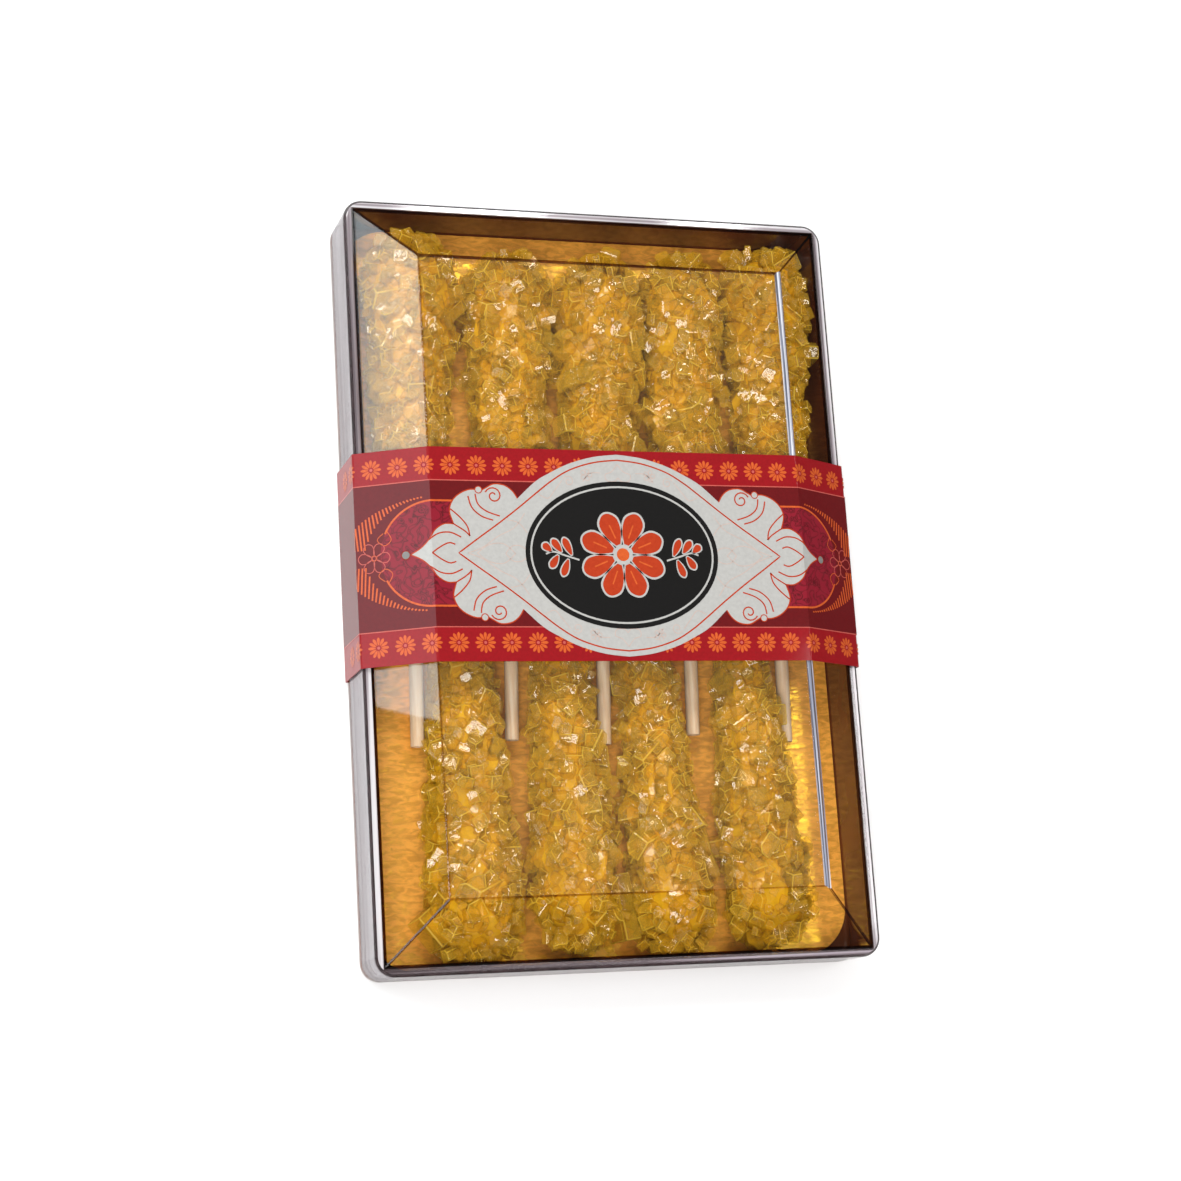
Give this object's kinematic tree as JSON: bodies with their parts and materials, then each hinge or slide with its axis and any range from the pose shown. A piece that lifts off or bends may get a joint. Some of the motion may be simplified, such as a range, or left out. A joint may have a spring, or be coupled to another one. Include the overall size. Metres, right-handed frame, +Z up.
{
  "type": "box of rock candy sticks",
  "caption": "Shut clear-lidded gift box of saffron-yellow rock candy on straw sticks, laid head to tail on a gold card, with a red ornamental paper band.",
  "frame": {"origin": "middle of the underside, where the paper band passes under the box", "axes": "+Z up through the lid, +Y along the box's length towards the end with five candies, +X across it"},
  "size_m": [0.1352, 0.2004, 0.0282],
  "materials": {
    "smoke_plastic": "clear smoke-brown moulded tray, glossy",
    "clear_plastic": "clear moulded polystyrene lid, glossy",
    "gold_foil": "gold foil on card, mirror-like with a fine emboss",
    "red_paper": "printed coated paper, satin",
    "rock_sugar": "translucent saffron-yellow sugar crystals",
    "white_straw": "off-white extruded straw, satin"
  },
  "bodies": {
    "root": {"tray": "smoke_plastic", "lid": "clear_plastic", "gold_card": "gold_foil", "paper_band": "red_paper", "candy_1": "rock_sugar", "candy_2": "rock_sugar", "candy_3": "rock_sugar", "candy_4": "rock_sugar", "candy_5": "rock_sugar", "candy_6": "rock_sugar", "candy_7": "rock_sugar", "candy_8": "rock_sugar", "candy_9": "rock_sugar", "straw_1": "white_straw", "straw_2": "white_straw", "straw_3": "white_straw", "straw_4": "white_straw", "straw_5": "white_straw", "straw_6": "white_straw", "straw_7": "white_straw", "straw_8": "white_straw", "straw_9": "white_straw"}
  },
  "joints": []
}
